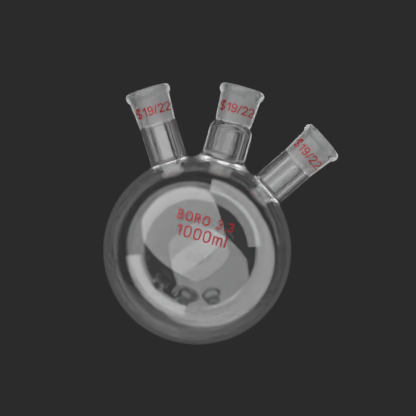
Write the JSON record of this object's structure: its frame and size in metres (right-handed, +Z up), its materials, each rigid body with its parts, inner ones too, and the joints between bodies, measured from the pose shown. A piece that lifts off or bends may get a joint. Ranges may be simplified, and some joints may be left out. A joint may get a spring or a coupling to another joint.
{
  "type": "three-neck round bottom flask",
  "caption": "Round bottom glass flask with a spherical bulb, an upright centre neck, slanted side necks, ground conical sockets with beaded rims and red fired size marks.",
  "frame": {"origin": "lowest point of the bulb, on the axis of the centre neck", "axes": "+Z up the centre neck, the side necks in the XZ plane, the printed marks facing -Y"},
  "size_m": [0.1528, 0.131, 0.183],
  "materials": {
    "clear_glass": "gloss",
    "ground_glass": "satin",
    "red_enamel": "satin"
  },
  "bodies": {
    "root": {"bulb": "clear_glass", "centre_neck_seal": "clear_glass", "centre_neck": "clear_glass", "centre_socket": "ground_glass", "left_stem_seal": "clear_glass", "left_stem": "clear_glass", "left_socket": "ground_glass", "right_stem_seal": "clear_glass", "right_stem": "clear_glass", "right_socket": "ground_glass", "centre_size_mark": "red_enamel", "left_size_mark": "red_enamel", "right_size_mark": "red_enamel", "capacity_mark": "red_enamel", "glass_type_mark": "red_enamel"}
  },
  "joints": []
}
